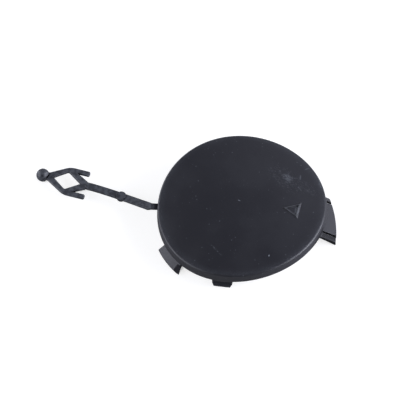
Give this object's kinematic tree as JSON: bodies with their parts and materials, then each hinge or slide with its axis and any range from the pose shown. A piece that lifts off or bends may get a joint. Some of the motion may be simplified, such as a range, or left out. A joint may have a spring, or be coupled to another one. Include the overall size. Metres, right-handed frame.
{
  "type": "bumper_tow_hook_cover",
  "caption": "Round bumper tow hook cover in black moulded plastic, with a bent face, sloping hooks, snap clips, a release tongue and a holding strap with a barbed anchor.",
  "frame": {"origin": "on the axis of the round face, at the mean level of the rim's lower edge, where the bumper's opening is", "axes": "+Z out of the face, +X towards the release tongue, with the strap leaving on the -X side"},
  "size_m": [0.1521, 0.0848, 0.0168],
  "materials": {
    "cover_plastic": "fine moulded grain, dull satin, lightly scuffed"
  },
  "bodies": {
    "root": {"tow_hook_cover": "cover_plastic"}
  },
  "joints": []
}
